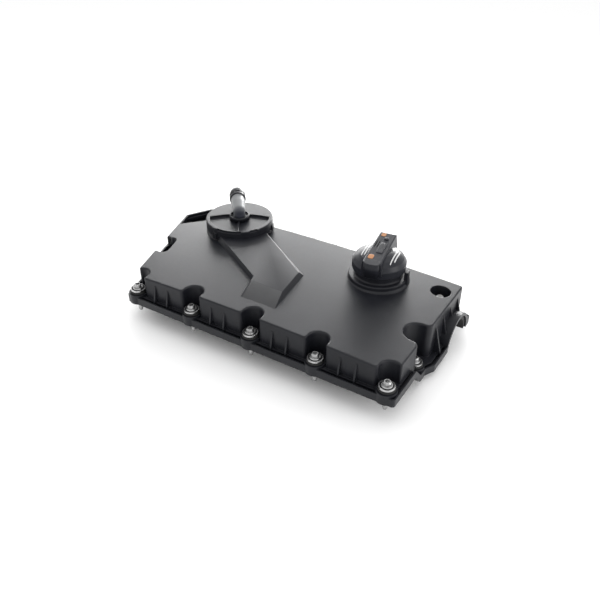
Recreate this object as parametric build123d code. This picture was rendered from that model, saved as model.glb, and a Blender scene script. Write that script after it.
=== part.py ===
"""Valve cover of a four-cylinder engine: a moulded cover with its bolts, gasket,
oil filler cap and crankcase pressure regulator. Sizes are millimetres.

X runs along the front bolt row, Y to the back of the cover, Z up. The plan is drawn
from the middle front bolt hole on the front sealing face. The finished cover is then
moved so that the origin is under its middle, at the level of the lowest bolt tips.
"""
from build123d import *
import os
from math import cos, radians, sin, sqrt, tan

# Driving dimensions of the moulded cover
bolt_pitch = 88.0
front_bolts = 5
wall = 3.0
plate_height = 36.0
crown_rise = 5.6
crown_half_length = 200.0
front_wall_y = -1.0
back_wall_y = 198.0
right_wall_x = 184.0
left_wall_x = -186.5
left_flare_angle = 18.1
left_corner_y = 170.0
left_bulge_y = 206.0
left_bulge_end_x = -176.0
left_chamfer_x = -216.0
edge_radius = 2.0

# Scallops round the front bolts and the side bolts
scallop_radius = 12.5
scallop_centre_y = 6.0
scallop_lip_radius = 4.0
side_bolt_y = 74.0
side_recess_y = 79.0
side_recess_radius = 17.0
side_recess_depth = 25.5
side_recess_lip = 7.0
side_bolt_inset = 7.3
left_bolt_y = 82.0
left_pocket_length = 42.0
left_pocket_wall = 2.4
left_pocket_rim_drop = 12.0

# Sealing flange, with its step down towards the back
flange_thickness = 10.0
flange_reach = 9.0
flange_side_reach = 6.0
flange_end_reach = 12.5
flange_jog_start_y = 77.0
flange_jog_end_y = 90.0
step_drop = 18.0
step_start_y = 47.0
step_end_y = 64.0
groove_width = 3.8
groove_depth = 5.5
groove_inset = 1.8
gasket_width = 4.0
gasket_height = 3.2
gasket_proud = 0.8

# Bosses, bolts, washers, grommets and sleeves
boss_radius = 12.0
boss_height = 13.0
bolt_diameter = 6.0
bolt_head_radius = 4.8
bolt_head_height = 5.6
bolt_collar_radius = 6.8
bolt_collar_height = 1.8
bolt_reach = 15.0
lower_bolt_reach = 8.0
washer_radius = 9.3
washer_thickness = 1.8
grommet_radius = 10.2
grommet_lip = 3.6
grommet_tube_radius = 7.0
sleeve_radius = 4.8
sleeve_wall = 1.3
fit = 0.1
cut_reach = 400.0

# Bolt wells in the plate
well_x = 165.0
well_y = 170.0
well_radius = 12.7
well_depth = 18.0
column_wall = 3.6
column_foot_z = 2.0
left_column_foot_z = -10.0
left_well_x = -214.0
left_well_y = 175.0
left_well_radius = 8.0
platform_z = 33.0
platform_start_y = 140.0
tray_depth = 13.0
tray_rim = 2.6
lug_plate_thickness = 4.0
lug_slot_length = 8.0
lug_slot_width = 4.0

# Half-round end opening for the camshaft
arch_y = 162.0
arch_radius = 31.0
arch_rim = 4.0
arch_rim_x = 196.5
end_seal_width = 5.0

# Gusset ribs
rib_thickness = 2.4
front_rib_gap = 20.0
front_rib_depth = 5.0
front_rib_top = 32.0
side_rib_start_y = 113.0
side_rib_pitch = 23.0
side_ribs = 4
side_rib_depth = 9.5

# Raised duct on the plate, from the regulator to the front ramp
duct_height = 5.5
duct_width = 57.5
duct_angle = -33.0
duct_draft = 36.0
duct_corner_x = -44.0
duct_front_y = 56.0
duct_foot_y = 26.0
duct_end_x = 9.0
duct_end_slant = 7.6
ramp_spread = 12.0

# Oil filler neck
neck_x = 87.0
neck_y = 155.0
neck_radius = 30.0
neck_bore = 24.0
neck_height = 16.5
collar_radius = 37.5
collar_height = 7.0
lug_angle = 6.0
lug_width = 8.0
lug_height = 11.0
neck_depth = 14.0

# Filler cap
cap_radius = 33.8
cap_skirt = 10.0
cap_dome = 13.5
handle_width = 21.0
handle_length = 66.0
handle_height = 26.5
handle_slope = 4.0
handle_angle = 8.0
cap_gap = 0.6
cap_inside_radius = 22.0
plug_radius = 22.6
plug_wall = 3.0
bayonet_reach = 2.6
bayonet_thickness = 4.0
cap_seal_height = 3.0

# Pressure regulator
reg_x = -137.0
reg_y = 169.5
reg_radius = 46.7
reg_skirt = 11.0
reg_skirt_wall = 2.7
reg_bowl_wall = 3.0
reg_seat_z = 46.0
reg_floor_z = 28.0
reg_raise = 3.0
reg_chord_offset = 1.0
reg_chord_rise = 8.0
reg_chord_angle = 31.6
reg_rim_width = 5.0
reg_clips = 3
reg_clip_angle = -100.0
reg_notch = 2.4
reg_rib_height = 2.8
reg_rib_width = 2.2
membrane_thickness = 1.0
membrane_drop = 8.0
piston_radius = 20.0
piston_thickness = 2.4
spring_radius = 14.5
spring_wire = 1.4
spring_turns = 3.0

# Outlet nozzle
nozzle_radius = 9.6
nozzle_foot_radius = 8.2
nozzle_bore = 7.0
nozzle_bore_step = 1.4
nozzle_mouth_length = 30.0
nozzle_flare = 14.0
nozzle_length = 44.0
nozzle_tilt = 8.0
nozzle_heading = 130.0
nozzle_socket_radius = 11.5
nozzle_socket_height = 2.0
nozzle_inlet_depth = 9.0
quick_ring_radius = 11.3
quick_ring_length = 11.0
o_ring_section = 1.8

# Baffle plate under the roof
baffle_z = 22.0
baffle_thickness = 2.0
baffle_x = -30.0
baffle_y = 82.0
baffle_length = 236.0
baffle_width = 96.0
baffle_lip = 6.0
post_radius = 4.5
baffle_screw_radius = 2.0
baffle_screw_head = 4.2
slot_length = 30.0
slot_width = 5.0

# Derived places
lower_z = -step_drop
crown_radius = (crown_half_length**2 + crown_rise**2) / (2 * crown_rise)
crown_centre_z = plate_height + crown_rise - crown_radius
bolt_x = [(i - (front_bolts - 1) / 2) * bolt_pitch for i in range(front_bolts)]
lean = tan(radians(left_flare_angle))
boss_bore = grommet_tube_radius + fit
reg_bowl_radius = reg_radius - reg_skirt_wall
gasket_inner_reach = gasket_width / 2 - 0.4


def roof_z(x):
    """Height of the crowned plate over the plan position x."""
    return crown_centre_z + sqrt(crown_radius**2 - x**2)


def crown_solid(extra):
    """Long cylinder whose top is the crowned plate, raised by an allowance."""
    return Pos(0, 0, crown_centre_z) * Rot(90, 0, 0) * Cylinder(crown_radius + extra, 2 * cut_reach)


def left_x(y):
    """Plan position of the slanted left wall at the depth y."""
    return left_wall_x - lean * (y - scallop_centre_y - scallop_radius)


side_bolt = (right_wall_x - side_bolt_inset, side_bolt_y)
narrow_washer_radius = bolt_collar_radius + 0.6
pocket_radius = narrow_washer_radius + 0.6
left_bolt_inset = (boss_bore + gasket_inner_reach + 1.2) / cos(radians(left_flare_angle))
left_bolt = (left_x(left_bolt_y) + left_bolt_inset, left_bolt_y)
back_bolt_y = back_wall_y + grommet_radius + 4 * fit
back_bolts = [(x, back_bolt_y) for x in bolt_x[1:-1]]
upper_bolts = [(x, 0.0) for x in bolt_x]
lower_bolts = [side_bolt, left_bolt] + back_bolts
seats = [(x, y, 0.0) for x, y in upper_bolts] + [(x, y, lower_z) for x, y in lower_bolts]
well_seat_z = roof_z(well_x) - well_depth
columns = [(well_x, well_y, well_radius, well_seat_z, column_foot_z),
           (left_well_x, left_well_y, left_well_radius, left_column_foot_z + boss_height,
            left_column_foot_z)]
neck_plate_z = roof_z(neck_x)
neck_top_z = neck_plate_z + neck_height
collar_top_z = neck_plate_z + collar_height


def disc(x, y, z0, z1, radius):
    """Upright cylinder between two heights."""
    return Pos(x, y, (z0 + z1) / 2) * Cylinder(radius, z1 - z0)


def tube(x, y, z0, z1, outer, inner):
    return disc(x, y, z0, z1, outer) - disc(x, y, z0 - 1, z1 + 1, inner)


def turned(points):
    """Solid of revolution about Z from (radius, height) points."""
    return revolve(Plane.XZ * Polygon(*points, align=None), Axis.Z)


def upright(sketch, z0, z1):
    return Pos(0, 0, z0) * extrude(sketch, z1 - z0)


def along_x(points, x0, x1):
    """Prism of a (y, z) profile between two X positions."""
    return Pos(x0, 0, 0) * extrude(Plane.YZ * Polygon(*points, align=None), x1 - x0)


def group(solids):
    return Compound(children=list(solids))


def scallop(x):
    """U-shaped recess in the front wall, open towards the viewer."""
    mouth = Pos(x, scallop_centre_y - cut_reach / 2) * Rectangle(2 * scallop_radius, cut_reach)
    return Pos(x, scallop_centre_y) * Circle(scallop_radius) + mouth


def side_recess():
    """Wide recess in the right wall round the side bolt."""
    centre_x = right_wall_x - side_recess_depth + side_recess_radius
    mouth = Pos(centre_x + cut_reach / 2, side_recess_y) * Rectangle(cut_reach, 2 * side_recess_radius)
    return Pos(centre_x, side_recess_y) * Circle(side_recess_radius) + mouth


def body_outline():
    """Plan of the cover's walls, with rounded scallop lips."""
    plan = Polygon(
        (left_x(front_wall_y), front_wall_y), (right_wall_x, front_wall_y), (right_wall_x, back_wall_y),
        (left_bulge_end_x, back_wall_y), (left_bulge_end_x - 10, left_bulge_y),
        (left_chamfer_x, left_bulge_y),
        (left_x(left_corner_y), left_corner_y), align=None)
    for x in bolt_x:
        plan -= scallop(x)
    plan -= side_recess()
    lips = [v for v in plan.vertices() if abs(v.Y - front_wall_y) < 0.01]
    plan = fillet(lips, scallop_lip_radius)
    scallop_back = scallop_centre_y + scallop_radius + 1
    ends = [v for v in plan.vertices() if v.Y < scallop_back and abs(v.X) > abs(bolt_x[0]) + 4]
    plan = fillet(ends, scallop_lip_radius / 2)
    right = [v for v in plan.vertices() if abs(v.X - right_wall_x) < 0.01]
    corners = [v for v in right if abs(v.Y - side_recess_y) < side_recess_radius + 1]
    plan = fillet(corners, side_recess_lip)
    back = [v for v in plan.vertices() if v.Y > left_corner_y - 1]
    return fillet(back, edge_radius * 2)


def step_profile(top, bottom):
    """Side view of a band that follows the stepped sealing face."""
    far, near = cut_reach, -cut_reach
    return [(near, bottom), (step_start_y, bottom), (step_end_y, bottom - step_drop),
            (far, bottom - step_drop),
            (far, top - step_drop), (step_end_y, top - step_drop), (step_start_y, top), (near, top)]


def flange_outline():
    """Plan of the sealing flange, with a round boss at each bolt."""
    front_y = front_wall_y - flange_reach
    side = flange_side_reach
    plan = Polygon(
        (left_x(front_wall_y) - side, front_y), (right_wall_x + side, front_y),
        (right_wall_x + side, flange_jog_start_y), (right_wall_x + flange_end_reach, flange_jog_end_y),
        (right_wall_x + flange_end_reach, back_wall_y + flange_reach),
        (left_bulge_end_x, back_wall_y + flange_reach),
        (left_bulge_end_x - 10, left_bulge_y + side), (left_chamfer_x - 3, left_bulge_y + side),
        (left_x(left_corner_y) - side, left_corner_y + 3), align=None)
    plan = fillet(plan.vertices(), 4.0)
    for x, y, _ in seats:
        plan += Pos(x, y) * Circle(boss_radius)
    return plan


def pocket_outline(extra):
    """Plan of the long pocket inside the left wall, grown by an allowance."""
    turn = 90 + left_flare_angle
    centre = Pos(*left_bolt) * Rot(0, 0, turn)
    return centre * SlotOverall(left_pocket_length + 2 * extra, 2 * (pocket_radius + extra))


def platform_outline():
    """Plan of the lower platform, cut from the back left corner of the plate."""
    edge_x = left_x(platform_start_y)
    return Polygon(
        (edge_x - 30, platform_start_y), (edge_x + 3, platform_start_y),
        (edge_x + 29, platform_start_y + 25),
        (left_bulge_end_x - 2, back_wall_y + 30), (edge_x - 30, back_wall_y + 30), align=None)


def left_pocket_rim():
    """Thin outer wall that stands round the left pocket, lower than the plate."""
    ring = pocket_outline(left_pocket_wall) - pocket_outline(0)
    return upright(ring, lower_z + flange_thickness - 1, plate_height - left_pocket_rim_drop)


def shell_walls(outline, inner, low, high):
    """Crowned outer body and the hollow that leaves its walls and roof."""
    body = upright(outline, low, high) & crown_solid(0)
    body = fillet(body.faces().sort_by(Axis.Z)[-1].edges(), edge_radius)
    return body, upright(inner, low - 1, high + 1) & crown_solid(-wall)


def flange_solid(inner, low, high):
    """Stepped sealing flange with a groove along its upper side."""
    plan = flange_outline()
    band = along_x(step_profile(flange_thickness, 0.0), -cut_reach, cut_reach)
    channel_profile = step_profile(flange_thickness + 1, flange_thickness - groove_depth)
    channel = along_x(channel_profile, -cut_reach, cut_reach)
    ring = offset(plan, -groove_inset) - offset(plan, -groove_inset - groove_width)
    return (upright(plan - inner, low, high) & band) - (upright(ring, low, high) & channel)


def cover_shell():
    outline = body_outline()
    inner = offset(outline, -wall)
    low, high = lower_z - 20.0, plate_height + crown_rise + 10.0
    body, hollow = shell_walls(outline, inner, low, high)

    # Lower platform with its tray, and the low outer rim of the left pocket
    platform = platform_outline()
    body -= upright(platform, platform_z, high)
    body -= upright(offset(outline & platform, -tray_rim), platform_z - tray_depth, high)
    hollow -= upright(offset(platform, wall), platform_z - tray_depth - wall, high + 2)
    body -= upright(pocket_outline(0.4) + Pos(-pocket_radius, 0) * pocket_outline(0.4),
                    plate_height - left_pocket_rim_drop, high)

    body += flange_solid(inner, low, high)
    for x, y, base in seats:
        body += disc(x, y, base, base + boss_height, boss_radius)

    # Columns, pocket, neck, bowl and posts stay solid where the hollow would be
    for x, y, radius, _, foot in columns:
        hollow -= disc(x, y, foot, high, radius + column_wall)
    hollow -= upright(pocket_outline(wall), lower_z, high)
    hollow -= disc(neck_x, neck_y, neck_plate_z - neck_depth, high, neck_radius)
    hollow -= disc(reg_x, reg_y, reg_floor_z - reg_bowl_wall, high, reg_bowl_radius)
    for x, y in post_places():
        hollow -= disc(x, y, baffle_z + baffle_thickness, high, post_radius)
    body += [duct_solid(), neck_solid(), bowl_solid(), corner_lug()]
    body = body - hollow - along_x(step_profile(0.0, -cut_reach), -cut_reach, cut_reach)
    body = body + ribs() + arch_rim_solid() + left_pocket_rim()
    return body - openings(outline, high)


def openings(outline, high):
    """Everything that is bored, cut or grooved into the finished casting."""
    plain_seats = [seat for seat in seats if seat[:2] != left_bolt]
    cuts = [disc(x, y, base - 1, base + boss_height + 30, boss_bore) for x, y, base in plain_seats]
    cuts.append(disc(*left_bolt, lower_z - 1, high, boss_bore))
    cuts.append(upright(pocket_outline(0), lower_z + boss_height, high))
    for x, y, radius, seat, foot in columns:
        cuts.append(disc(x, y, seat, high, radius))
        cuts.append(disc(x, y, foot - 1, seat + 1, boss_bore))
    cuts.append(disc(neck_x, neck_y, -20, neck_top_z + 1, neck_bore))
    cuts.append(disc(reg_x, reg_y, reg_floor_z, reg_seat_z + 10, reg_bowl_radius - reg_bowl_wall))
    cuts.append(gasket_strip(outline, 0.0, gasket_height - gasket_proud))
    cuts.append(arch_bore(arch_radius))
    cuts += [disc(x, y, baffle_z, baffle_z + 10, baffle_screw_radius) for x, y in post_places()]
    return cuts


def gasket_strip(outline, bottom, top):
    """Strip that follows the walls' foot on the stepped sealing face."""
    ring = offset(outline, gasket_width / 2) - offset(outline, -gasket_inner_reach)
    band = along_x(step_profile(top, bottom), -cut_reach, cut_reach)
    return upright(ring, lower_z - 20, plate_height) & band


def perimeter_gasket(outline):
    strip = gasket_strip(outline, -gasket_proud, gasket_height - gasket_proud)
    return strip - arch_bore(arch_radius + arch_rim)


def arch_bore(radius):
    """Round bore along the camshaft axis, through the right wall alone."""
    start = right_wall_x - wall - 0.2
    length = arch_rim_x + 2 - start
    return Pos(start + length / 2, arch_y, lower_z) * Rot(0, 90, 0) * Cylinder(radius, length)


def arch_rim_solid():
    """Half-round rim that frames the end opening."""
    length = arch_rim_x - right_wall_x + wall
    ring = Rot(0, 90, 0) * (Cylinder(arch_radius + arch_rim, length) - Cylinder(arch_radius, length + 2))
    over = Pos(0, 0, 50) * Box(length + 2, 200, 100)
    return Pos(arch_rim_x - length / 2, arch_y, lower_z) * (ring & over)


def ribs():
    """Triangular gussets on the front wall and on the right wall."""
    solids = []
    front = [(front_wall_y + 1, front_rib_top), (front_wall_y + 1, 2), (front_wall_y - front_rib_depth, 2),
             (front_wall_y - front_rib_depth, flange_thickness - 1), (front_wall_y - 0.4, front_rib_top)]
    for i in range(front_bolts - 1):
        middle = (bolt_x[i] + bolt_x[i + 1]) / 2
        for side in (-1, 1):
            x = middle + side * front_rib_gap / 2
            solids.append(along_x(front, x - rib_thickness / 2, x + rib_thickness / 2))
    foot_z = lower_z + flange_thickness
    side_profile = Plane.XZ * Polygon(
        (right_wall_x - 1, plate_height - 3), (right_wall_x - 1, lower_z + 2),
        (right_wall_x + side_rib_depth, lower_z + 2), (right_wall_x + side_rib_depth, foot_z), align=None)
    for i in range(side_ribs):
        y = side_rib_start_y + i * side_rib_pitch
        rib = Pos(0, y + rib_thickness / 2, 0) * extrude(side_profile, rib_thickness)
        solids.append(rib - arch_bore(arch_radius + arch_rim / 2))
    return solids


def corner_lug():
    """Thin slotted ear at the back left corner."""
    corner_x, corner_y = left_x(left_corner_y), left_corner_y
    plan = Polygon(
        (corner_x + 2, corner_y - 8), (corner_x - 1, corner_y + 8), (corner_x + 4, corner_y + 20),
        (corner_x + 12, corner_y + 36), (left_chamfer_x + 6, left_bulge_y - 1), align=None)
    slot = Pos(corner_x + 7.5, corner_y + 21) * Rot(0, 0, 62) * SlotOverall(lug_slot_length, lug_slot_width)
    return upright(plan - slot, platform_z - lug_plate_thickness, platform_z)


def duct_solid():
    """Raised gas duct with drafted sides and a ramp that runs out towards the front."""
    direction = Vector(cos(radians(duct_angle)), sin(radians(duct_angle)))
    side = Vector(-direction.Y, direction.X) * (duct_width / 2)
    slant = tan(radians(duct_end_slant))

    def end_x(y):
        return duct_end_x + slant * (duct_front_y - y)

    far = Vector(reg_x, reg_y) + side
    corner = Vector(reg_x, reg_y) - side
    corner_y = corner.Y + (duct_corner_x - corner.X) * direction.Y / direction.X
    right_y = far.Y + (end_x(duct_front_y) - far.X) * direction.Y / direction.X
    plan = Polygon(
        (corner.X, corner.Y), (duct_corner_x, corner_y), (duct_corner_x + 2, duct_front_y),
        (duct_corner_x + ramp_spread, duct_foot_y - 2), (end_x(duct_foot_y) + 4, duct_foot_y - 2),
        (end_x(right_y - 5), right_y - 5), (end_x(right_y) - 8, right_y + 3),
        (far.X, far.Y), align=None)
    draft_z = roof_z(0) - 0.8
    top = draft_z + duct_height + 1.5
    block = upright(plan, plate_height - 2, draft_z) + Pos(0, 0, draft_z) * extrude(
        plan, top - draft_z, taper=duct_draft)
    ramp_top = roof_z(0) + duct_height + 2
    ramp = along_x([(duct_foot_y - 10, ramp_top), (duct_foot_y - 10, roof_z(0) - 0.5),
                    (duct_foot_y, roof_z(0) - 0.2), (duct_front_y, ramp_top - 2.2),
                    (duct_front_y + 6, ramp_top)],
                   duct_corner_x - 20, duct_end_x + 40)
    under_lid = disc(reg_x, reg_y, reg_seat_z - 4.4, top + 20, reg_radius + 2.4)
    return (block & crown_solid(duct_height)) - ramp - under_lid


def neck_solid():
    """Filler neck with its collar, turning lug and rounded foot."""
    foot = turned([(0, neck_plate_z - 3), (collar_radius + 2.5, neck_plate_z - 3),
                   (collar_radius + 2.0, neck_plate_z),
                   (collar_radius, neck_plate_z + 2), (collar_radius, collar_top_z - 1),
                   (collar_radius - 1, collar_top_z),
                   (neck_radius + 1.5, collar_top_z), (neck_radius, collar_top_z + 1.5),
                   (neck_radius, neck_top_z - 1),
                   (neck_radius - 1, neck_top_z), (0, neck_top_z)])
    lug_x = (collar_radius + neck_radius) / 2
    lug_top = collar_top_z + lug_height
    lug = Rot(0, 0, lug_angle) * Pos(lug_x + 3, 0, (neck_plate_z + lug_top) / 2) * Box(
        collar_radius - neck_radius + 6, lug_width, lug_top - neck_plate_z)
    keep = disc(0, 0, neck_plate_z, lug_top, collar_radius + 1.6)
    ring = tube(0, 0, neck_plate_z - 20, neck_top_z + 30, collar_radius + 30, cap_radius + cap_gap)
    return Pos(neck_x, neck_y, 0) * (foot + (lug & keep & ring))


def bowl_solid():
    """Round bowl that carries the regulator's membrane and lid."""
    roof = roof_z(reg_x)
    foot = turned([(0, reg_floor_z - reg_bowl_wall), (reg_bowl_radius, reg_floor_z - reg_bowl_wall),
                   (reg_bowl_radius, roof - 4), (reg_bowl_radius + 3, roof - 1),
                   (reg_bowl_radius + 1.5, roof + 0.8),
                   (reg_bowl_radius, roof + 2.5), (reg_bowl_radius, reg_seat_z), (0, reg_seat_z)])
    return Pos(reg_x, reg_y, 0) * foot


def post_places():
    """Six screw posts for the baffle plate, in two rows."""
    dx, dy = baffle_length / 2 - 12, baffle_width / 2 - 12
    return [(baffle_x + i * dx, baffle_y + j * dy) for i in (-1, 0, 1) for j in (-1, 1)]


def end_seal():
    """Half-round rubber seal in the end opening, with two ribs."""
    x0 = right_wall_x - wall + 0.3
    outer = arch_radius - fit
    length = arch_rim_x - 2 - x0
    plug = Rot(0, 90, 0) * (Cylinder(outer, length) - Cylinder(outer - end_seal_width, length + 2))
    groove = Rot(0, 90, 0) * (Cylinder(outer + 1, 2) - Cylinder(outer - 1.2, 2))
    plug = plug - Pos(length / 2 - 3, 0, 0) * groove
    web = Pos(-length / 2 + 2, 0, 0) * Rot(0, 90, 0) * Cylinder(outer - 1, 4)
    over = Pos(0, 0, 50) * Box(length + 2, 200, 100)
    return Pos(x0 + length / 2, arch_y, lower_z) * ((plug + web) & over)


def bolt(x, y, base, reach):
    """Shouldered bolt with a domed head, a collar and a round socket."""
    seat = base + boss_height + grommet_lip + washer_thickness
    top = seat + bolt_head_height
    head = turned([(0, seat), (bolt_collar_radius, seat),
                   (bolt_collar_radius - 0.6, seat + bolt_collar_height),
                   (bolt_head_radius, seat + bolt_collar_height), (bolt_head_radius, top - 1.2),
                   (bolt_head_radius - 1.2, top), (0, top)])
    tip = base - reach
    shank = turned([(0, tip), (bolt_diameter / 2 - 1, tip), (bolt_diameter / 2, tip + 3),
                    (bolt_diameter / 2, seat + 1),
                    (0, seat + 1)])
    socket = Pos(0, 0, top - 3.0) * extrude(RegularPolygon(bolt_head_radius * 0.62, 6), 4)
    return Pos(x, y, 0) * (head + shank - socket)


def mount_stack():
    """The bolts with their washers, grommets and sleeves, on every seat."""
    places = [(x, y, base, bolt_reach if base == 0 else lower_bolt_reach) for x, y, base in seats]
    for x, y, radius, seat, foot in columns:
        base = seat - boss_height
        places.append((x, y, base, base - lower_z - 4))
    parts = {"cover_bolts": [], "column_bolts": [], "bolt_washers": [], "grommets": [], "bolt_sleeves": []}
    for x, y, base, reach in places:
        lip_z = base + boss_height
        washer_z = lip_z + grommet_lip
        in_well = (x, y, base) not in seats
        snug = in_well or (x, y) == left_bolt
        wide = narrow_washer_radius if snug else washer_radius
        lip_radius = wide if snug else grommet_radius
        foot = max(base, column_foot_z) if base > 0 else base
        parts["column_bolts" if in_well else "cover_bolts"].append(bolt(x, y, base, reach))
        parts["bolt_washers"].append(tube(x, y, washer_z, washer_z + washer_thickness, wide,
                                          bolt_diameter / 2 + fit))
        rubber = turned([(sleeve_radius + fit, foot), (grommet_tube_radius, foot),
                         (grommet_tube_radius, lip_z),
                         (lip_radius - 0.6, lip_z), (lip_radius, lip_z + 1), (lip_radius - 0.9, washer_z),
                         (sleeve_radius + fit, washer_z)])
        parts["grommets"].append(Pos(x, y, 0) * rubber)
        parts["bolt_sleeves"].append(tube(x, y, foot, washer_z, sleeve_radius, sleeve_radius - sleeve_wall))
    return parts


def baffle_plate():
    """Oil baffle with turned-down edges and drain slots."""
    plan = fillet((Pos(baffle_x, baffle_y) * Rectangle(baffle_length, baffle_width)).vertices(), 14)
    tray = upright(plan, baffle_z - baffle_lip, baffle_z + baffle_thickness)
    tray -= upright(offset(plan, -baffle_thickness), baffle_z - baffle_lip - 1, baffle_z)
    slots = [Pos(baffle_x + i * 38, baffle_y + j * 22) * SlotOverall(slot_length, slot_width)
             for i in (-2, -1, 0, 1, 2) for j in (-1, 0, 1)]
    for slot in slots:
        tray -= upright(slot, baffle_z - 1, baffle_z + baffle_thickness + 1)
    for x, y in post_places():
        tray -= disc(x, y, baffle_z - 1, baffle_z + 10, baffle_screw_radius)
    return tray


def baffle_screws():
    """Pan-head screws under the baffle plate."""
    length = 9.0
    shape = turned([(0, baffle_z - 3.4), (baffle_screw_head - 1, baffle_z - 3.4),
                    (baffle_screw_head, baffle_z - 1.4),
                    (baffle_screw_head, baffle_z), (baffle_screw_radius - fit, baffle_z),
                    (baffle_screw_radius - fit, baffle_z + length), (0, baffle_z + length)])
    return [Pos(x, y, 0) * shape for x, y in post_places()]


def regulator_lid():
    """Snap-on lid with a raised back half, a front rib and a nozzle socket."""
    top_z = reg_seat_z + reg_skirt
    skin = 2.4
    low = top_z - reg_raise
    arc = ((reg_radius - 6) ** 2 + reg_chord_rise**2) / (2 * reg_chord_rise)
    lid = turned([(0, low - skin), (reg_bowl_radius - 4, low - skin),
                  (reg_bowl_radius - 4, reg_seat_z + fit * 2),
                  (reg_bowl_radius + 0.3, reg_seat_z + fit * 2), (reg_bowl_radius + 0.3, reg_seat_z - 3),
                  (reg_radius - 0.8, reg_seat_z - 3), (reg_radius, reg_seat_z - 2), (reg_radius, top_z - 1),
                  (reg_radius - 1, top_z), (reg_radius - reg_rim_width, top_z),
                  (reg_radius - reg_rim_width - 1.5, low),
                  (0, low)])
    back = Rot(0, 0, reg_chord_angle) * Pos(0, reg_chord_offset + reg_radius, (low + top_z) / 2) * Box(
        4 * reg_radius, 2 * reg_radius, top_z - low)
    arc_place = Pos(0, reg_chord_offset + reg_chord_rise - arc, low)
    hollow_front = Rot(0, 0, reg_chord_angle) * arc_place * Cylinder(arc, 4 * reg_raise)
    raised = (back & disc(0, 0, low - 1, top_z + 1, reg_radius - 3)) - hollow_front
    socket = disc(0, 0, low - skin, top_z + nozzle_socket_height, nozzle_socket_radius)
    rib_profile = Plane.XZ * Polygon((6, low - 1), (reg_radius - 5, low - 1),
                                     (reg_radius - 7, low + reg_rib_height / 2),
                                     (nozzle_socket_radius + 2, low + reg_rib_height),
                                     (6, low + reg_rib_height), align=None)
    rib_place = Rot(0, 0, reg_chord_angle - 90) * Pos(0, reg_rib_width / 2, 0)
    rib = rib_place * extrude(rib_profile, reg_rib_width)
    lid = lid + [raised, socket, rib]
    lid -= disc(0, 0, low - skin - 1, top_z + nozzle_socket_height + 1, nozzle_foot_radius + fit)
    view_angle = reg_chord_angle - 90
    for start, turn in ((view_angle - 38, 45), (view_angle + 22, 14)):
        lid -= notch_wedge(start, turn, top_z - reg_notch, top_z + 1)
    clip_low = roof_z(reg_x + reg_radius) + 1.2
    clip_high = reg_seat_z + 4.5
    clip_shape = Pos(reg_radius + 0.6, 0, (clip_low + clip_high) / 2) * Box(2.4, 7, clip_high - clip_low)
    clips = [Rot(0, 0, reg_clip_angle + i * 360 / reg_clips) * clip_shape for i in range(reg_clips)]
    lid = lid + clips
    lid -= disc(0, 0, reg_seat_z - 20, reg_seat_z + fit * 2, reg_bowl_radius + 0.3)
    return Pos(reg_x, reg_y, 0) * lid


def notch_wedge(start, turn, z0, z1):
    """Sector that cuts the lid's rim back between two directions."""
    far = 2 * reg_radius
    corners = [(far * cos(radians(start + turn * k / 2)),
                far * sin(radians(start + turn * k / 2))) for k in range(3)]
    sector = upright(Polygon((0, 0), *corners, align=None), z0, z1)
    return sector - disc(0, 0, z0 - 1, z1 + 1, reg_radius - reg_notch)


def membrane():
    """Rolling rubber membrane clamped between bowl and lid."""
    outer = reg_bowl_radius - 0.2
    bowl_inner = reg_bowl_radius - reg_bowl_wall
    pan_z = reg_seat_z - membrane_drop
    t = membrane_thickness
    roll = bowl_inner - 3
    flat = turned([(piston_radius - 8, pan_z - t), (roll - 8, pan_z - t), (roll - 3, pan_z - t + 1),
                   (roll, reg_seat_z - 2),
                   (bowl_inner - 0.3, reg_seat_z - t * 0.8), (bowl_inner - 0.3, reg_seat_z + 0.02),
                   (roll - 1, reg_seat_z + 0.02), (roll - 4.2, pan_z + 1.2), (roll - 8.4, pan_z),
                   (piston_radius - 8, pan_z)])
    bead = turned([(bowl_inner - 0.4, reg_seat_z + 0.02), (outer, reg_seat_z + 0.02),
                   (outer, reg_seat_z + 0.17),
                   (bowl_inner - 0.4, reg_seat_z + 0.17)])
    return Pos(reg_x, reg_y, 0) * (flat + bead)


def piston():
    """Stiff plate that carries the membrane and closes the inlet tube."""
    z0 = reg_seat_z - membrane_drop + 0.05
    shape = turned([(0, z0), (piston_radius, z0), (piston_radius, z0 + piston_thickness),
                    (piston_radius - 2.5, z0 + piston_thickness), (piston_radius - 3, z0 + 1.2),
                    (spring_radius - spring_wire - 1.5, z0 + 1.2),
                    (spring_radius - spring_wire - 2, z0 + 2), (0, z0 + 2)])
    stem = turned([(0, z0 - 6), (3, z0 - 6), (3, z0), (0, z0)])
    return Pos(reg_x, reg_y, 0) * (shape + stem)


def piston_spring():
    """Open coil spring between the lid and the piston plate."""
    bottom = reg_seat_z - membrane_drop + 1.3
    top = reg_seat_z + reg_skirt - reg_raise - 2.4 - 0.1
    height = top - bottom - spring_wire
    path = Helix(pitch=height / spring_turns, height=height, radius=spring_radius)
    wire = Plane(path @ 0, z_dir=path % 0) * Rectangle(spring_wire, spring_wire)
    coil = sweep(wire, path)
    return Pos(reg_x, reg_y, bottom + spring_wire / 2) * coil


def nozzle_frame():
    """Place of the elbow's centre on the lid, with the pipe's direction."""
    centre = Vector(reg_x, reg_y, reg_seat_z + reg_skirt + nozzle_socket_height + nozzle_foot_radius + fit)
    level = cos(radians(nozzle_tilt))
    heading = Vector(level * cos(radians(nozzle_heading)), level * sin(radians(nozzle_heading)),
                     sin(radians(nozzle_tilt)))
    return centre, heading


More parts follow.
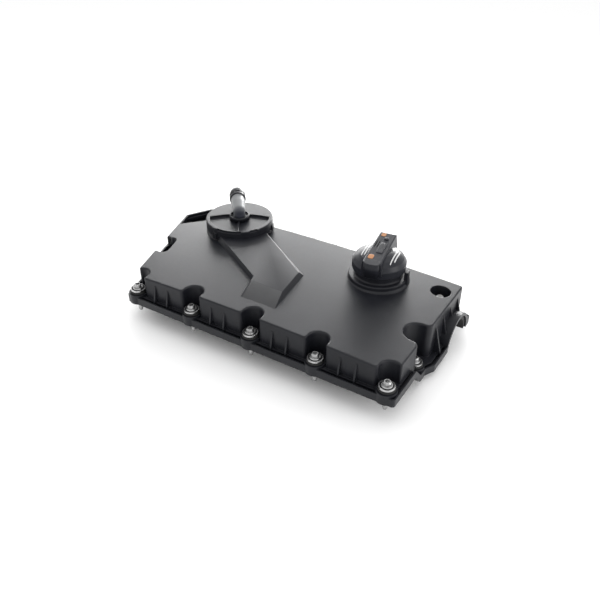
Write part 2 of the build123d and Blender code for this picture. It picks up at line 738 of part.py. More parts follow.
def outlet_nozzle():
    """Elbow pipe that leaves the regulator towards the back."""
    centre, heading = nozzle_frame()
    inlet_z = reg_seat_z + reg_skirt - nozzle_inlet_depth
    down = disc(centre.X, centre.Y, inlet_z, centre.Z, nozzle_foot_radius)
    pipe_plane = Plane(centre, z_dir=heading)
    pipe = pipe_plane * turned([(0, 0), (nozzle_foot_radius, 0), (nozzle_radius, nozzle_flare),
                                (nozzle_radius, nozzle_length), (0, nozzle_length)])
    barb = pipe_plane * Pos(0, 0, nozzle_length - 3) * Cylinder(nozzle_radius + 0.8, 2)
    body = down + pipe + barb + Pos(*centre) * Sphere(nozzle_foot_radius)
    groove_z = reg_seat_z + reg_skirt - 1.0
    groove = tube(centre.X, centre.Y, groove_z - o_ring_section / 2, groove_z + o_ring_section / 2,
                  nozzle_foot_radius + 2, nozzle_foot_radius - o_ring_section + 0.2)
    throat = nozzle_bore - nozzle_bore_step
    body -= Pos(centre.X, centre.Y, (inlet_z - 2 + centre.Z) / 2) * Cylinder(throat, centre.Z - inlet_z + 2)
    body -= pipe_plane * Pos(0, 0, nozzle_length / 2) * Cylinder(throat, nozzle_length)
    body -= pipe_plane * Pos(0, 0, nozzle_length - nozzle_mouth_length / 2 + 2) * Cylinder(
        nozzle_bore, nozzle_mouth_length + 4)
    body -= Pos(*centre) * Sphere(throat)
    return body - groove


def nozzle_o_ring():
    groove_z = reg_seat_z + reg_skirt - 1.0
    middle = nozzle_foot_radius - (o_ring_section - 0.2) / 2 + 0.05
    half = o_ring_section / 2 - 0.06
    corners = [(middle + half * cos(radians(a)), half * sin(radians(a))) for a in range(0, 360, 45)]
    return Pos(reg_x, reg_y, groove_z) * turned(corners)


def quick_ring():
    """Dark snap collar near the end of the nozzle."""
    centre, heading = nozzle_frame()
    plane = Plane(centre, z_dir=heading)
    start = nozzle_length - 6 - quick_ring_length
    ring = Pos(0, 0, start + quick_ring_length / 2) * (
        Cylinder(quick_ring_radius, quick_ring_length) - Cylinder(nozzle_radius + fit,
                                                                  quick_ring_length + 2))
    waist = Pos(0, 0, start + quick_ring_length / 2) * (
        Cylinder(quick_ring_radius + 2, 2) - Cylinder(quick_ring_radius - 0.8, 2))
    return plane * (ring - waist)


def cap_base_z():
    return neck_top_z - 1.2 + cap_gap


def filler_cap():
    """Cap with a skirt, a domed top and a wide handle bar that rises to the back."""
    z0 = cap_base_z()
    z1 = z0 + cap_skirt
    top = z0 + handle_height
    shell = turned([(0, z0), (cap_radius - 0.8, z0), (cap_radius, z0 + 0.8), (cap_radius, z1 - 0.6),
                    (cap_radius - 0.6, z1), (0.9 * cap_radius, z1 + 0.36 * cap_dome),
                    (0.73 * cap_radius, z1 + 0.68 * cap_dome),
                    (0.46 * cap_radius, z1 + 0.9 * cap_dome), (0, z1 + cap_dome)])
    half = handle_width / 2
    profile = Plane.XZ * Polygon((-half - 3, z1 - 4), (half + 3, z1 - 4), (half, top + handle_slope),
                                 (-half, top + handle_slope), align=None)
    bar = Pos(0, handle_length / 2, 0) * extrude(profile, handle_length)
    reach = handle_length / 2
    above = Plane.YZ * Polygon((-reach - 1, top - handle_slope), (reach + 1, top + handle_slope),
                               (reach + 1, top + 20), (-reach - 1, top + 20), align=None)
    bar -= Pos(-handle_width, 0, 0) * extrude(above, 2 * handle_width)
    bar = fillet(bar.faces().sort_by(Axis.Z)[-1].edges(), 1.6)
    cap = shell + Rot(0, 0, handle_angle) * bar
    cap -= disc(0, 0, z0 - 1, neck_top_z + cap_seal_height, neck_radius + cap_gap)
    inside = turned([(plug_radius - plug_wall, z0 - 1), (cap_inside_radius, z0 - 1),
                     (cap_inside_radius - 2, z1 + cap_dome / 2),
                     (0, z1 + cap_dome / 2), (0, z0 - 1)])
    return Pos(neck_x, neck_y, 0) * (cap - inside)


def cap_plug():
    """Hollow plug under the cap, with three bayonet wings below the neck."""
    top = neck_top_z + cap_seal_height
    bottom = neck_plate_z - neck_depth - bayonet_thickness - 1.0
    body = tube(0, 0, bottom, top, plug_radius, plug_radius - plug_wall)
    wing_place = Pos(plug_radius, 0, bottom + bayonet_thickness / 2)
    wing = wing_place * Box(2 * bayonet_reach, 12, bayonet_thickness)
    wings = [Rot(0, 0, 30 + i * 120) * wing for i in range(3)]
    return Pos(neck_x, neck_y, 0) * (body + wings)


def cap_seal():
    """Flat ring between the neck's rim and the cap."""
    return tube(neck_x, neck_y, neck_top_z + 0.02, neck_top_z + cap_seal_height - 0.02, neck_radius - 1,
                plug_radius + 0.3)


def all_nodes():
    """Every sub-part by its node name, in the plan's own place."""
    nodes = {"cover_shell": cover_shell(), "perimeter_gasket": perimeter_gasket(body_outline()),
             "cam_end_seal": end_seal()}
    nodes.update({node: group(solids) for node, solids in mount_stack().items()})
    nodes.update({
        "baffle_plate": baffle_plate(), "baffle_screws": group(baffle_screws()),
        "regulator_lid": regulator_lid(), "regulator_membrane": membrane(), "regulator_piston": piston(),
        "regulator_spring": piston_spring(), "outlet_nozzle": outlet_nozzle(),
        "nozzle_o_ring": nozzle_o_ring(),
        "nozzle_quick_ring": quick_ring(), "filler_cap": filler_cap(), "filler_cap_plug": cap_plug(),
        "filler_cap_seal": cap_seal()})
    return nodes


def main():
    os.makedirs("parts", exist_ok=True)
    nodes = all_nodes()
    boxes = [shape.bounding_box() for shape in nodes.values()]
    low = [min(getattr(box.min, axis) for box in boxes) for axis in "XYZ"]
    high = [max(getattr(box.max, axis) for box in boxes) for axis in "XYZ"]
    move = Pos(-(low[0] + high[0]) / 2, -(low[1] + high[1]) / 2, -low[2])
    print("moved by", move.position)
    for node, shape in nodes.items():
        placed = group(move * solid for solid in shape.solids())
        placed.label = node
        export_step(placed, f"parts/{node}.step")


main()
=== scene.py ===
"""Engine valve cover: finishes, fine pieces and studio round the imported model."""

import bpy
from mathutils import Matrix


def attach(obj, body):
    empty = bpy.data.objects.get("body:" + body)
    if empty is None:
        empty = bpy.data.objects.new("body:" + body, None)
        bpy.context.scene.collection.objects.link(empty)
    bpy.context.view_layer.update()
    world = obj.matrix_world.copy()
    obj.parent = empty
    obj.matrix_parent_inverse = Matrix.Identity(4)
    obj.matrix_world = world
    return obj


bl_info = {
    "name": "Valve Cover Dressing",
    "version": (1, 1, 0),
    "blender": (4, 5, 0),
    "location": "View3D > Sidebar > Valve Cover",
    "description": "Finishes a moulded engine valve cover with its bolts, cap and regulator",
    "category": "Object",
}

from math import cos, radians, sin

import bpy
import numpy as np
from bpy.props import FloatProperty, FloatVectorProperty, IntProperty, PointerProperty
from bpy.types import Operator, Panel, PropertyGroup
from mathutils import Matrix, Vector

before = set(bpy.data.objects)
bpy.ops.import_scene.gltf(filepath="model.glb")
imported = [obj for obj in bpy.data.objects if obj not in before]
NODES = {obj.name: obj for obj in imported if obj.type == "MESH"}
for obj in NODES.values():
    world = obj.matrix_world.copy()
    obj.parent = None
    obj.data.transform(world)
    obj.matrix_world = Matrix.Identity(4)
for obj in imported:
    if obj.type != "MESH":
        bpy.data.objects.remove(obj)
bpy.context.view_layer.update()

MM = 0.001


def points_of(node):
    """All points of a CAD node's mesh, one row each."""
    mesh = NODES[node].data
    points = np.empty(len(mesh.vertices) * 3, dtype=np.float32)
    mesh.vertices.foreach_get("co", points)
    return points.reshape(-1, 3)


def box_of(points):
    """Lowest corner, middle and highest corner of the points' box."""
    low, high = points.min(axis=0), points.max(axis=0)
    return low, (low + high) / 2, high


# Places of the filler cap and of the nozzle's elbow, which stands over the regulator's middle.
CAP_CENTRE = box_of(points_of("filler_cap_seal"))[1][:2]
CAP_LOW, _, CAP_HIGH = box_of(points_of("filler_cap"))
CAP_FOOT, CAP_TOP = CAP_LOW[2], CAP_HIGH[2]
REGULATOR = box_of(points_of("regulator_piston"))[1]
ELBOW = (float(REGULATOR[0]), float(REGULATOR[1]), 93.3 * MM)
PIPE_TURN, PIPE_TILT = radians(130), radians(8)
PIPE_AXIS = (cos(PIPE_TILT) * cos(PIPE_TURN), cos(PIPE_TILT) * sin(PIPE_TURN), sin(PIPE_TILT))

# Middle of the front bolt row, the crowned plate, and the floor inside the lid's rim.
ROW_PLACE = np.array((22.5889, -104.3)) * MM
PLATE_TOP, CROWN_RADIUS = 67.6 * MM, 3574.2 * MM
LID_FLOOR = 85.2 * MM

# Corners of the gas duct, in mm from the middle of the front bolt row: from the lid along the
# left side, round the ramp and back along the right side. The ramp is the side after the fifth.
DUCT_EDGE = ((-138.8, 124.9), (-39.8, 64.6), (-38.4, 60.0), (-37.0, 57.0), (-35.2, 54.0),
             (9.4, 54.0), (2.8, 102.6), (-92.8, 167.9))
DUCT_FOOT = ((-140.3, 122.6), (-41.4, 62.2), (-38.8, 49.1), (-34.2, 35.4), (-28.8, 24.2),
             (17.8, 24.3), (7.4, 107.2), (-90.2, 171.4))

# Profiles of the turned rings, as radius and height in mm.
SOCKET_PROFILE = ((11.8, -4.0), (11.8, 0.9), (12.2, 1.5), (13.4, 1.5), (13.9, 0.9), (13.9, -4.0))
# The washer ring is a low dark raised ring: painted shade of the groove between washer and collar.
GROOVE_SHADE_PROFILE = ((6.7, 0.05), (6.7, 0.35), (7.1, 0.45), (7.7, 0.45), (8.0, 0.3), (8.0, -0.2),
                  (6.7, -0.2))
WASHER_REACH, GROOVED_WASHER = 20 * MM, 8.5 * MM
RING_STEPS = 48

# The cap's dome: shares of its radius and of its rise, and its rim's height over the cap's foot.
DOME_RADIUS, DOME_RISE, DOME_RIM = 33.8 * MM, 13.5 * MM, 10.0 * MM
DOME_REACH_SHARES = np.array((0, 0.46, 0.73, 0.9, 0.982, 1.0))
DOME_RISE_SHARES = np.array((1, 0.9, 0.68, 0.36, 0, -0.05))

# Rings of a pad from the middle out: share of the outline and share of the pad's own height.
PAD_REACH = np.array((0.2, 0.4, 0.6, 0.8, 0.94, 1.0, 1.0))
PAD_RISE = np.array((1, 1, 1, 1, 1, 0.6, 0))
PAD_STEPS = 48

# Prints on the cap in the handle's own axes: place across and along, then width and length in mm.
MARKS = {"front_mark": ((-4.8, -21.0), (6.8, 8.6)), "back_mark": ((-4.4, 27.0), (6.0, 6.8))}
BARS = {"left_bar_outer": ((-18.8, 1.0), (1.4, 33)), "left_bar_inner": ((-15.2, 1.5), (1.4, 33)),
        "right_bar_inner": ((19.4, -1.0), (1.4, 37)), "right_bar_outer": ((22.8, -1.0), (1.4, 25))}

# Softboxes: direction and height in degrees, size in metres and power in watts.
SOFTBOXES = {
    "back_low_softbox": (208, 17, (1.5, 0.5), 22.0),
    "back_right_softbox": (192, 13, (0.8, 0.35), 14.0),
    "back_high_softbox": (208, 56, (1.1, 0.6), 2.0),
    "top_softbox": (30, 85, (1.4, 1.2), 3.0),
    "right_softbox": (95, 20, (0.8, 0.8), 6.0),
}
SOFTBOX_DISTANCE, FLOOR_REACH = 1.6, 6.0


class CoverFinish(PropertyGroup):
    """Colours and surface grain of the moulded pieces."""
    plastic: FloatVectorProperty(
        name="Plastic", description="Colour of the moulded cover", subtype="COLOR", size=3,
        min=0, max=1, default=(0.0078, 0.0084, 0.0112))
    cap_share: FloatProperty(
        name="Cap", description="Brightness of the cap's plastic next to the cover's", default=1.5)
    elbow_share: FloatProperty(
        name="Elbow", description="Brightness of the nozzle's elbow next to the cover", default=4.0)
    nozzle: FloatVectorProperty(
        name="Nozzle", description="Colour of the hose nozzle", subtype="COLOR", size=3,
        min=0, max=1, default=(0.20, 0.205, 0.21))
    grain: FloatProperty(
        name="Grain", description="Size of the moulded grain", subtype="DISTANCE",
        default=0.55 * MM)
    roughness: FloatProperty(
        name="Roughness", description="Roughness of the moulded plastic", subtype="FACTOR",
        default=0.40)
    edge: FloatProperty(
        name="Edge", description="Radius of the moulded edges", subtype="DISTANCE",
        default=1.0 * MM)


class CapPrints(PropertyGroup):
    """Sizes and colours of the plain prints on the filler cap."""
    handle_turn: FloatProperty(
        name="Handle Turn", description="Turn of the cap's handle", subtype="ANGLE",
        default=radians(8))
    handle_slope: FloatProperty(
        name="Handle Slope", description="Rise of the handle's top towards the back",
        default=4 / 34)
    handle_crest: FloatProperty(
        name="Handle Crest", description="Distance of the handle's highest line from the axis",
        subtype="DISTANCE", default=31.4 * MM)
    amber: FloatVectorProperty(
        name="Amber", description="Colour of the two plain marks", subtype="COLOR", size=3,
        min=0, max=1, default=(0.40, 0.16, 0.045))
    white: FloatVectorProperty(
        name="White", description="Colour of the plain bars", subtype="COLOR", size=3,
        min=0, max=1, default=(0.62, 0.62, 0.62))
    lift: FloatProperty(
        name="Lift", description="Height of a print over the plastic", subtype="DISTANCE",
        default=0.2 * MM)


class DuctSizes(PropertyGroup):
    """Heights and ramp of the gas duct's skin."""
    top: FloatProperty(
        name="Top", description="Height of the duct's flat top", subtype="DISTANCE",
        default=73.3 * MM)
    sink: FloatProperty(
        name="Sink", description="Depth of the duct's foot in the plate", subtype="DISTANCE",
        default=0.4 * MM)
    # The ramp's colour is paler than the plastic: painted sheen, standing in for the light that the
    # gentle ramp catches.
    ramp: FloatVectorProperty(
        name="Ramp", description="Colour of the slightly paler ramp", subtype="COLOR", size=3,
        min=0, max=1, default=(0.024, 0.0245, 0.0265))
    ramp_side: IntProperty(
        name="Ramp Side", description="Place of the ramp among the duct's sides", default=4)


class StudioSettings(PropertyGroup):
    """Camera, floor and surround of the studio."""
    azimuth: FloatProperty(
        name="Azimuth", description="Camera direction round the cover in degrees", default=31.65)
    elevation: FloatProperty(
        name="Elevation", description="Camera height over the floor in degrees", default=34.2)
    roll: FloatProperty(name="Roll", description="Camera roll in degrees", default=0.34)
    distance: FloatProperty(
        name="Distance", description="Camera distance from its target", subtype="DISTANCE",
        default=864.3 * MM)
    lens: FloatProperty(
        name="Lens", description="Focal length", subtype="DISTANCE_CAMERA", default=39.95)
    target: FloatVectorProperty(
        name="Target", description="Point that the camera looks at", subtype="TRANSLATION",
        size=3, default=(22.79 * MM, 5.4 * MM, 26.0 * MM))
    floor: FloatVectorProperty(
        name="Floor", description="Colour of the floor", subtype="COLOR", size=3, min=0, max=1,
        default=(0.97, 0.97, 0.97))
    sky: FloatProperty(
        name="Sky", description="Strength of the even white surround", default=1.0)


class Wire:
    """A socket in a shader tree that can be used in Python expressions."""

    def __init__(self, finish, socket):
        self.finish, self.socket = finish, socket

    def maths(self, operation, other):
        return self.finish.node("ShaderNodeMath", {"operation": operation}, self, other)

    def __add__(self, other):
        return self.maths("ADD", other)

    def __sub__(self, other):
        return self.maths("SUBTRACT", other)

    def __mul__(self, other):
        return self.maths("MULTIPLY", other)

    def smooth(self, low, high):
        """0 below low, 1 above high, eased in between."""
        limits = {"From Min": low, "From Max": high}
        settings = {"interpolation_type": "SMOOTHSTEP"}
        return self.finish.node("ShaderNodeMapRange", settings, Value=self, **limits)


class Finish:
    """A new material with a Principled shader and helpers that add its nodes."""

    def __init__(self, name, colour, roughness, metallic=0.0, gloss=0.5):
        self.material = bpy.data.materials.new(name)
        self.material.use_nodes = True
        self.tree = self.material.node_tree
        self.shader = self.tree.nodes["Principled BSDF"]
        self.shader.inputs["Base Color"].default_value = (*colour, 1)
        self.shader.inputs["Roughness"].default_value = roughness
        self.shader.inputs["Metallic"].default_value = metallic
        self.shader.inputs["Specular IOR Level"].default_value = gloss
        self.material.diffuse_color = (*colour, 1)
        self.place = self.node("ShaderNodeTexCoord", {}, out="Object")

    def join(self, node, key, value):
        """Links a wire to a node's socket, or sets the socket's own value."""
        if isinstance(value, Wire):
            self.tree.links.new(value.socket, node.inputs[key])
        else:
            node.inputs[key].default_value = value

    def node(self, kind, settings, *values, out=0, **named):
        """Adds a node, sets it, and joins values to its sockets in order or by name."""
        node = self.tree.nodes.new(kind)
        for key, value in settings.items():
            setattr(node, key, value)
        for key, value in [*enumerate(values), *named.items()]:
            self.join(node, key, value)
        return Wire(self, node.outputs[out])

    def set(self, socket, wire):
        self.tree.links.new(wire.socket, self.shader.inputs[socket])

    def noise(self, size, detail, roughness=0.5):
        """Noise with features of about the given size."""
        return self.node("ShaderNodeTexNoise", {}, Vector=self.place, Scale=1 / size,
                         Detail=detail, Roughness=roughness)

    def blend(self, factor, first, second):
        """Mixes two colours by a factor. Sockets 0, 6 and 7 are the factor and the colours."""
        node = self.tree.nodes.new("ShaderNodeMix")
        node.data_type = "RGBA"
        for key, value in ((0, factor), (6, (*first, 1)), (7, (*second, 1))):
            self.join(node, key, value)
        return Wire(self, node.outputs[2])

    def axes(self):
        """The object coordinates as three separate values."""
        node = self.tree.nodes.new("ShaderNodeSeparateXYZ")
        self.join(node, 0, self.place)
        return [Wire(self, output) for output in node.outputs]

    def bump(self, height, distance, strength, edge=0.0):
        """Bump from a height, over edges rounded by a bevel radius."""
        named = {"Height": height, "Distance": distance, "Strength": strength}
        if edge:
            named["Normal"] = self.node("ShaderNodeBevel", {"samples": 4}, Radius=edge)
        self.set("Normal", self.node("ShaderNodeBump", {}, **named))


# What the noises below add to the roughness on average, taken off it first.
MEAN_WEAR = 0.12


def shaded(colour, share):
    """A colour made brighter or darker by a share."""
    return tuple(share * value for value in colour)


def moulded(name, colour, roughness, grain, edge, depth=0.06 * MM, gloss=0.27):
    """Satin moulded plastic: fine grain, soft edges and faint handling marks."""
    finish = Finish(name, colour, roughness, gloss=gloss)
    clouds = finish.noise(26 * MM, detail=4.0)
    streaks = finish.noise(5 * MM, detail=3.0)
    fine = finish.noise(grain, detail=3.0, roughness=0.7)
    paler = tuple(min(1.0, value * 1.45 + 0.002) for value in colour)
    tone = clouds.smooth(0.35, 0.7) * 0.5 + fine.smooth(0.4, 0.75) * 0.3
    finish.set("Base Color", finish.blend(tone, colour, paler))
    wear = clouds * 0.10 + streaks * 0.08 + fine * 0.06
    finish.set("Roughness", wear + (roughness - MEAN_WEAR))
    finish.bump(fine, depth, 0.55, edge)
    return finish.material


def nozzle_plastic(name, light, dark, grain):
    """Light satin plastic on the pipe, darker towards the elbow at its foot.

    The share of light plastic grows with the distance along the pipe's axis, which is
    the sum of the three coordinates from the elbow's middle times the axis direction.
    """
    finish = Finish(name, light, 0.42, gloss=0.4)
    parts = [(axis - start) * share for axis, start, share in zip(finish.axes(), ELBOW, PIPE_AXIS)]
    along = parts[0] + parts[1] + parts[2]
    fade_start, fade_end = -9.0 * MM, 3.0 * MM
    share = along.smooth(fade_start, fade_end)
    fine = finish.noise(grain, detail=3.0, roughness=0.7)
    finish.set("Base Color", finish.blend(share, dark, light))
    finish.set("Roughness", fine * 0.08 + 0.36)
    finish.bump(fine, 0.05 * MM, 0.5, edge=0.5 * MM)
    return finish.material


def rubber(name, colour):
    """Dull rubber with a fine skin."""
    finish = Finish(name, colour, 0.7, gloss=0.35)
    finish.bump(finish.noise(0.8 * MM, detail=3.0), 0.05 * MM, 0.5, edge=0.3 * MM)
    return finish.material


def plated(name, colour, roughness):
    """Zinc-plated steel: faint turning marks and cloudy plating."""
    finish = Finish(name, colour, roughness, metallic=1.0)
    clouds = finish.noise(3 * MM, detail=4.0)
    fine = finish.noise(0.35 * MM, detail=2.0)
    tone = clouds.smooth(0.35, 0.75) * 0.7
    finish.set("Base Color", finish.blend(tone, colour, shaded(colour, 0.6)))
    finish.set("Roughness", clouds * 0.16 + fine * 0.08 + (roughness - MEAN_WEAR))
    finish.bump(fine, 0.02 * MM, 0.4, edge=0.25 * MM)
    return finish.material


def print_paint(name, colour):
    """Flat print with slightly worn, uneven ink."""
    finish = Finish(name, colour, 0.5, gloss=0.4)
    wear = finish.noise(0.9 * MM, detail=3.0).smooth(0.35, 0.7)
    finish.set("Base Color", finish.blend(wear, colour, shaded(colour, 0.8)))
    return finish.material


def dress(material, *nodes):
    """Puts one material on every slot of the named CAD nodes."""
    for node in nodes:
        mesh = NODES[node].data
        if not mesh.materials:
            mesh.materials.append(material)
        for slot in NODES[node].material_slots:
            slot.material = material


def new_object(name, points, faces, *materials):
    """Smooth mesh object made of points and faces, with its materials."""
    mesh = bpy.data.meshes.new(name)
    mesh.from_pydata(points.tolist(), [], faces)
    for material in materials:
        mesh.materials.append(material)
    mesh.shade_smooth()
    piece = bpy.data.objects.new(name, mesh)
    bpy.context.collection.objects.link(piece)
    return piece


def wall(count, near, far):
    """Faces between two closed loops of count points, which start at near and at far."""
    step = np.arange(count)
    after = (step + 1) % count
    return np.stack([near + step, near + after, far + after, far + step], axis=1)


def handle_height(points, look):
    """Height of the handle's top: a plane that falls evenly from the back to the front.

    points holds (across, along) rows in the handle's own turned axes.
    """
    return CAP_TOP - look.handle_slope * (look.handle_crest - points[:, 1])


def dome_height(points, look):
    """Height of the cap's dome: a chord profile that is turned about the cap's axis."""
    radius = np.hypot(points[:, 0], points[:, 1])
    rise = np.interp(radius, DOME_REACH_SHARES * DOME_RADIUS, DOME_RISE_SHARES * DOME_RISE)
    return CAP_FOOT + DOME_RIM + rise


def pad(name, centre, size, surface, lift, material, look, corner=4.0, sink=0.8 * MM):
    """Low pad with a rounded outline that lies on the cap. Its centre and size are in mm.

    Its outline is a superellipse, x = a |cos t|^(2/n), y = b |sin t|^(2/n), shifted in the
    handle's axes. Rings of that outline, from the middle out, follow the surface below at
    the lift, round over at the rim, and go down into the plastic. A point over the middle
    and one under it close the two ends.
    """
    t = np.linspace(0, 2 * np.pi, PAD_STEPS, endpoint=False)
    circle = np.stack([np.cos(t), np.sin(t)], axis=1)
    outline = np.sign(circle) * abs(circle) ** (2 / corner) * (np.array(size) * MM) / 2
    height = PAD_RISE * lift
    height[-1] -= sink
    rings = (PAD_REACH[:, None, None] * outline).reshape(-1, 2)
    local = np.concatenate([rings, [[0, 0], [0, 0]]]) + np.array(centre) * MM
    z = surface(local, look) + np.concatenate([np.repeat(height, PAD_STEPS), [lift, -sink]])
    turn = look.handle_turn
    handle = np.array([[cos(turn), sin(turn)], [-sin(turn), cos(turn)]])
    points = np.column_stack([local @ handle + CAP_CENTRE, z])
    starts = PAD_STEPS * np.arange(len(PAD_REACH))
    walls = [wall(PAD_STEPS, near, far)[:, ::-1].tolist() for near, far in zip(starts, starts[1:])]
    step = np.arange(PAD_STEPS)
    after = (step + 1) % PAD_STEPS
    over, under = len(rings), len(rings) + 1
    top = np.stack([step, after, np.full(PAD_STEPS, over)], axis=1)
    bottom = np.stack([after + starts[-1], step + starts[-1], np.full(PAD_STEPS, under)], axis=1)
    faces = [*sum(walls, []), *top.tolist(), *bottom.tolist()]
    piece = new_object(name, points, faces, material)
    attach(piece, "cap")


def turned_rings(name, centres, profile, material):
    """Closed rings of one profile, one round each centre.

    The profile's (radius, height) points in mm are turned about an upright axis:
    x = cx + r cos t, y = cy + r sin t, z = cz + h, with one loop for each profile point.
    """
    t = np.linspace(0, 2 * np.pi, RING_STEPS, endpoint=False)
    loops, faces = [], []
    for x, y, z in centres:
        starts = RING_STEPS * (len(loops) + np.arange(len(profile)))
        for radius, height in np.array(profile) * MM:
            circle = x + radius * np.cos(t), y + radius * np.sin(t)
            loops.append(np.column_stack([*circle, np.full(RING_STEPS, z + height)]))
        for near, far in zip(starts, np.roll(starts, -1)):
            faces += wall(RING_STEPS, near, far).tolist()
    piece = new_object(name, np.concatenate(loops), faces, material)
    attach(piece, "cover")


class COVER_OT_moulded_finish(Operator):
    """Gives the moulded cover, its lid, cap, nozzle and baffle their plastic"""
    bl_idname = "cover.moulded_finish"
    bl_label = "Moulded Plastic"

    def execute(self, context):
        look = context.scene.cover_finish
        colour, nozzle = tuple(look.plastic), tuple(look.nozzle)
        cap, elbow = shaded(colour, look.cap_share), shaded(colour, look.elbow_share)
        rough, grain, edge = look.roughness, look.grain, look.edge
        dress(moulded("cover_plastic", colour, rough, grain, edge), "cover_shell")
        dress(moulded("lid_plastic", colour, rough - 0.02, grain, edge), "regulator_lid")
        dress(moulded("cap_plastic", cap, rough - 0.04, grain, edge), "filler_cap",
              "filler_cap_plug")
        dress(moulded("baffle_plastic", colour, rough + 0.1, grain, edge), "baffle_plate")
        dress(moulded("snap_ring_plastic", colour, 0.42, grain, 0.3 * MM), "nozzle_quick_ring")
        dress(nozzle_plastic("nozzle_plastic", nozzle, elbow, grain), "outlet_nozzle")
        dress(moulded("piston_plastic", (0.3, 0.3, 0.3), 0.5, grain, 0.3 * MM),
              "regulator_piston")
        return {"FINISHED"}


class COVER_OT_metal_and_rubber(Operator):
    """Gives the bolts their plated steel and the seals their rubber"""
    bl_idname = "cover.metal_and_rubber"
    bl_label = "Metal and Rubber"

    def execute(self, context):
        dress(plated("bolt_plating", (0.44, 0.44, 0.44), 0.28), "cover_bolts", "baffle_screws")
        # The bolts in the deep wells get a far paler plating than the other bolts: painted light,
        # standing in for the light reaching down the wells.
        dress(plated("well_bolt_painted_light", (0.80, 0.80, 0.79), 0.30), "column_bolts")
        dress(plated("washer_plating", (0.56, 0.56, 0.56), 0.28), "bolt_washers", "bolt_sleeves",
              "regulator_spring")
        dress(rubber("grommet_rubber", (0.010, 0.010, 0.010)), "grommets")
        dress(rubber("seal_rubber", (0.018, 0.018, 0.019)), "perimeter_gasket", "cam_end_seal",
              "nozzle_o_ring", "filler_cap_seal", "regulator_membrane")
        return {"FINISHED"}


def crown_height(x):
    """Height of the crowned plate over the middle of the cover's length.

    The crown is a shallow parabola, z = top - x^2 / (2 R), about the bolt row's middle.
    """
    return PLATE_TOP - (x - ROW_PLACE[0]) ** 2 / (2 * CROWN_RADIUS)


class COVER_OT_gas_duct(Operator):
    """Adds the steep skin of the raised gas duct with its ramp towards the front"""
    bl_idname = "cover.gas_duct"
    bl_label = "Gas Duct"

    def execute(self, context):
        look, finish = context.scene.gas_duct, context.scene.cover_finish
        upper, lower = (np.array(ring) * MM + ROW_PLACE for ring in (DUCT_EDGE, DUCT_FOOT))
        count = len(upper)
        foot = np.column_stack([lower, crown_height(lower[:, 0]) - look.sink])
        top = np.column_stack([upper, np.full(count, look.top)])
        step = np.arange(count)
        faces = [*wall(count, 0, count).tolist(), (step + count).tolist(), step[::-1].tolist()]
        # The ramp face gets the paler colour: painted sheen on one face of the duct.
        ramp = moulded("ramp_painted_sheen", tuple(look.ramp), finish.roughness, finish.grain, 0.0)
        skin = new_object("duct_skin", np.concatenate([foot, top]), faces,
                          bpy.data.materials["cover_plastic"], ramp)
        skin.data.polygons[look.ramp_side].material_index = 1
        bevel = skin.modifiers.new("edges", "BEVEL")
        bevel.width, bevel.segments, bevel.harden_normals = finish.edge / 2, 3, True
        bevel.limit_method, bevel.angle_limit = "ANGLE", radians(12)
        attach(skin, "cover")
        return {"FINISHED"}


class COVER_OT_socket_ring(Operator):
    """Adds the low ring on the lid round the nozzle's foot"""
    bl_idname = "cover.socket_ring"
    bl_label = "Socket Ring"

    def execute(self, context):
        centre = (ELBOW[0], ELBOW[1], LID_FLOOR)
        plastic = bpy.data.materials["lid_plastic"]
        turned_rings("socket_ring", [centre], SOCKET_PROFILE, plastic)
        return {"FINISHED"}


def grooved_washers():
    """Middle of the top of each large washer, found one after another in the node's points."""
    points = points_of("bolt_washers")
    places = []
    while len(points):
        near = np.hypot(*(points[:, :2] - points[0, :2]).T) < WASHER_REACH
        low, centre, high = box_of(points[near])
        if (high[0] - low[0]) / 2 > GROOVED_WASHER:
            places.append((centre[0], centre[1], high[2]))
        points = points[~near]
    return places


class COVER_OT_washer_rings(Operator):
    """Adds a dark ring on each washer, between its rim and the bolt's collar: painted shade of the
    groove there
    """
    bl_idname = "cover.washer_rings"
    bl_label = "Washer Rings"

    def execute(self, context):
        # Dark rubber ring over the washer: painted shade standing in for the groove at the collar.
        groove_shade = rubber("washer_groove_shade", (0.010, 0.010, 0.011))
        turned_rings("washer_grooves", grooved_washers(), GROOVE_SHADE_PROFILE, groove_shade)
        return {"FINISHED"}


class COVER_OT_cap_prints(Operator):
    """Adds the plain amber marks and white bars on the filler cap"""
    bl_idname = "cover.cap_prints"
    bl_label = "Cap Prints"

    def execute(self, context):
        look = context.scene.cap_prints
        amber = print_paint("amber_print", tuple(look.amber))
        white = print_paint("white_print", tuple(look.white))
        for name, (centre, size) in MARKS.items():
            pad(name, centre, size, handle_height, look.lift, amber, look)
        for name, (centre, size) in BARS.items():
            pad(name, centre, size, dome_height, look.lift, white, look, corner=6.0)
        return {"FINISHED"}


class COVER_OT_cap_relief(Operator):
    """Adds the handle's bulging front end, its raised pad, its bump and two slots painted as dark
    shade
    """
    bl_idname = "cover.cap_relief"
    bl_label = "Cap Relief"

    def execute(self, context):
        look, finish = context.scene.cap_prints, context.scene.cover_finish
        colour = shaded(finish.plastic, finish.cap_share)
        plastic = moulded("relief_plastic", colour, finish.roughness, finish.grain, 0.3 * MM)
        shadow = moulded("slot_shade", shaded(colour, 0.3), 0.8, finish.grain, 0.0, gloss=0.1)
        pad("handle_nose", (0.0, -31.6), (20.4, 10.5), handle_height, 0.02 * MM, plastic, look,
            corner=2.6, sink=18.5 * MM)
        pad("handle_pad", (2.0, -1.0), (8.5, 22.0), handle_height, 0.6 * MM, plastic, look,
            corner=8.0)
        pad("handle_bump", (1.5, 19.0), (6.0, 5.0), handle_height, 1.2 * MM, plastic, look,
            corner=2.0)
        # The slots are flat dark pads with no recess cut: painted shade.
        for side, across in (("outer", -7.6), ("inner", -4.4)):
            pad(f"handle_slot_{side}", (across, 6.0), (1.2, 14.0), handle_height, 0.05 * MM,
                shadow, look, corner=5.0)
        return {"FINISHED"}


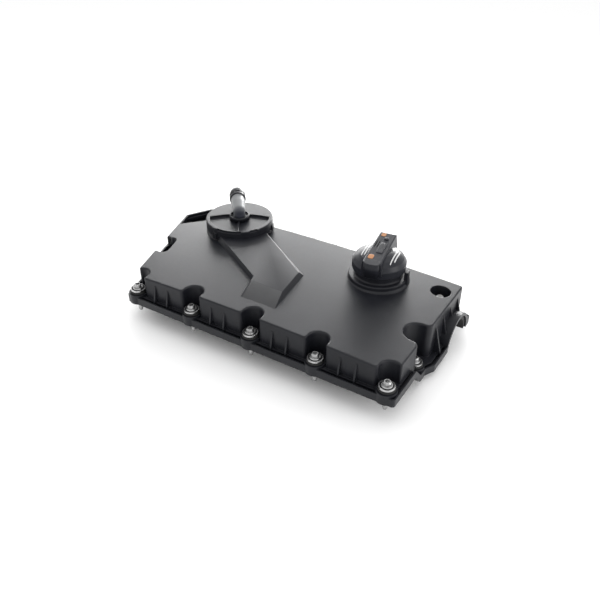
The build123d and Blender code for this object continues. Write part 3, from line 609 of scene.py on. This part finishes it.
def direction(azimuth, elevation):
    """Unit vector towards a place round the cover. At azimuth 0 it points to the front."""
    return Vector((sin(azimuth) * cos(elevation), -cos(azimuth) * cos(elevation), sin(elevation)))


def softbox(name, azimuth, elevation, size, power):
    """Soft light on a sphere round the cover, aimed at its middle."""
    light = bpy.data.lights.new(name, "AREA")
    light.shape, light.size, light.size_y, light.energy = "RECTANGLE", *size, power
    lamp = bpy.data.objects.new(name, light)
    lamp.location = SOFTBOX_DISTANCE * direction(radians(azimuth), radians(elevation))
    lamp.rotation_euler = (-lamp.location).to_track_quat("-Z", "Y").to_euler()
    bpy.context.collection.objects.link(lamp)


def camera_turn(azimuth, elevation, roll):
    """Axes of a camera that looks at its target from a direction round Z."""
    back = direction(azimuth, elevation)
    right = (-back).cross(Vector((0, 0, 1))).normalized()
    up = right.cross(-back)
    across, over = cos(roll) * right + sin(roll) * up, cos(roll) * up - sin(roll) * right
    return Matrix((across, over, back)).transposed()


class COVER_OT_studio(Operator):
    """Sets up the floor, the soft lights and the camera"""
    bl_idname = "cover.studio"
    bl_label = "Studio"

    def execute(self, context):
        look = context.scene.cover_studio
        floor = bpy.data.meshes.new("studio_floor")
        corners = [(x * FLOOR_REACH, y * FLOOR_REACH, 0)
                   for x, y in ((-1, -1), (1, -1), (1, 1), (-1, 1))]
        floor.from_pydata(corners, [], [(0, 1, 2, 3)])
        plane = bpy.data.objects.new("studio_floor", floor)
        context.collection.objects.link(plane)
        floor.materials.append(Finish("floor_paper", tuple(look.floor), 0.9, gloss=0.1).material)

        world = bpy.data.worlds.new("studio_world")
        context.scene.world = world
        world.use_nodes = True
        background = world.node_tree.nodes["Background"]
        background.inputs["Color"].default_value = (1, 1, 1, 1)
        background.inputs["Strength"].default_value = look.sky
        for name, settings in SOFTBOXES.items():
            softbox(name, *settings)

        turn = camera_turn(radians(look.azimuth), radians(look.elevation), radians(look.roll))
        lens = bpy.data.cameras.new("studio_camera")
        lens.lens, lens.sensor_width, lens.clip_start = look.lens, 36.0, 0.01
        camera = bpy.data.objects.new("studio_camera", lens)
        place = Vector(look.target) + turn.col[2] * look.distance
        camera.matrix_world = Matrix.Translation(place) @ turn.to_4x4()
        context.collection.objects.link(camera)
        context.scene.camera = camera
        context.scene.view_settings.view_transform = "Standard"
        return {"FINISHED"}


class COVER_PT_panel(Panel):
    """Every setting of the cover, and a button for each step"""
    bl_label = "Valve Cover"
    bl_idname = "COVER_PT_panel"
    bl_space_type = "VIEW_3D"
    bl_region_type = "UI"
    bl_category = "Valve Cover"

    def draw(self, context):
        for name in GROUPS:
            group = getattr(context.scene, name)
            box = self.layout.box()
            for key in group.bl_rna.properties.keys():
                if key not in {"name", "rna_type"}:
                    box.prop(group, key)
        for step in STEPS:
            self.layout.operator(step.bl_idname)


STEPS = (COVER_OT_moulded_finish, COVER_OT_metal_and_rubber, COVER_OT_gas_duct,
         COVER_OT_socket_ring, COVER_OT_washer_rings, COVER_OT_cap_prints, COVER_OT_cap_relief,
         COVER_OT_studio)
GROUPS = {"cover_finish": CoverFinish, "cap_prints": CapPrints, "gas_duct": DuctSizes,
          "cover_studio": StudioSettings}
CLASSES = (*GROUPS.values(), *STEPS, COVER_PT_panel)


def register():
    for cls in CLASSES:
        bpy.utils.register_class(cls)
    for name, group in GROUPS.items():
        setattr(bpy.types.Scene, name, PointerProperty(type=group))


def unregister():
    for name in GROUPS:
        delattr(bpy.types.Scene, name)
    for cls in reversed(CLASSES):
        bpy.utils.unregister_class(cls)


def main():
    register()
    for step in STEPS:
        group, name = step.bl_idname.split(".")
        getattr(getattr(bpy.ops, group), name)()


if __name__ == "__main__":
    main()
